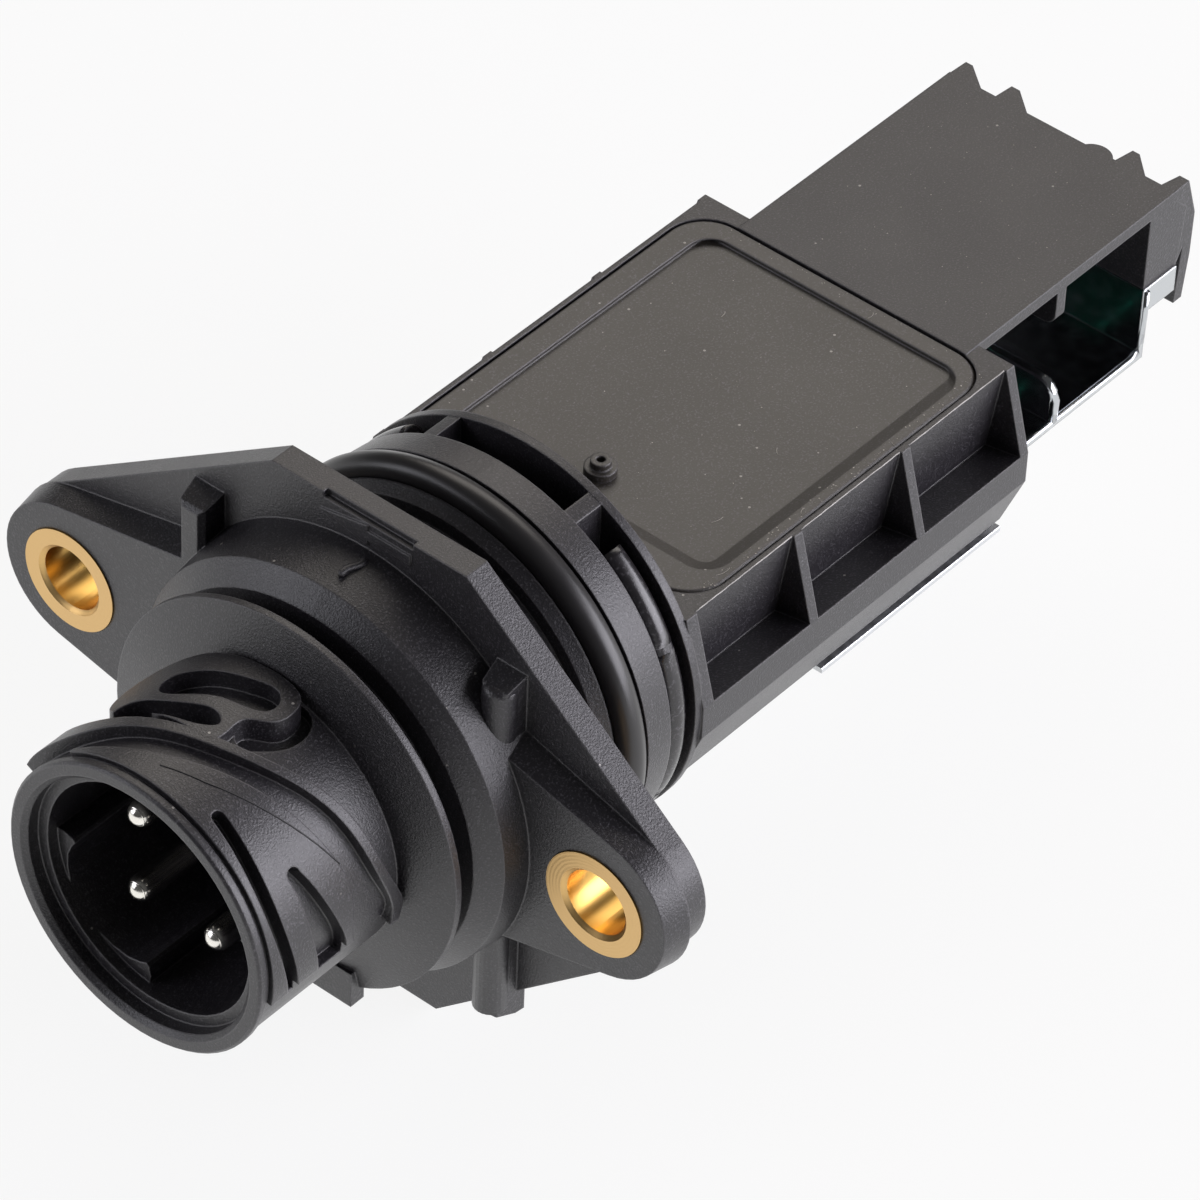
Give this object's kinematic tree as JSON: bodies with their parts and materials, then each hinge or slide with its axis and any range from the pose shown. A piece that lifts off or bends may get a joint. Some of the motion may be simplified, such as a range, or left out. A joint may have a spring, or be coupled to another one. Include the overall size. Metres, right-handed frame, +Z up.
{
  "type": "mass airflow sensor",
  "caption": "Plug-in mass airflow sensor with a bayonet connector, a bolt-on flange, a sealed spigot and an open measuring duct.",
  "frame": {"origin": "on the spigot axis, in the flange's rear face that seats on the intake duct", "axes": "+X along the insertion axis towards the measuring duct, +Z up on the lid side, +Y towards the far bush, the way the moulded arrow points"},
  "size_m": [0.1286, 0.0762, 0.0521],
  "materials": {
    "black_plastic": "satin moulded, glass-filled, fine grain",
    "lid_plastic": "smooth satin, warm dark grey",
    "brass": "turned",
    "ring_rubber": "satin black",
    "duct_metal": "polished sheet",
    "pin_metal": "bright plated",
    "seal_rubber": "cured sealant",
    "board_ceramic": "green coated",
    "chip_plastic": "matte",
    "capacitor_ceramic": "matte",
    "resistor_ceramic": "glazed",
    "wire_metal": "drawn",
    "blade_ceramic": "green coated",
    "film_metal": "thin film"
  },
  "bodies": {
    "root": {"sensor_body": "black_plastic", "bush_left": "brass", "bush_right": "brass", "contact_pin_1": "pin_metal", "contact_pin_2": "pin_metal", "contact_pin_3": "pin_metal", "contact_pin_4": "pin_metal", "sealing_ring": "ring_rubber", "cover_lid": "lid_plastic", "lid_seal": "seal_rubber", "vent_plug": "lid_plastic", "duct_liner": "duct_metal", "circuit_board": "board_ceramic", "bond_wires": "wire_metal", "control_chip": "chip_plastic", "output_chip": "chip_plastic", "chip_capacitors": "capacitor_ceramic", "chip_resistors": "resistor_ceramic", "element_holder": "chip_plastic", "sensing_element": "blade_ceramic", "heater_film": "film_metal", "thermistor": "resistor_ceramic"}
  },
  "joints": []
}
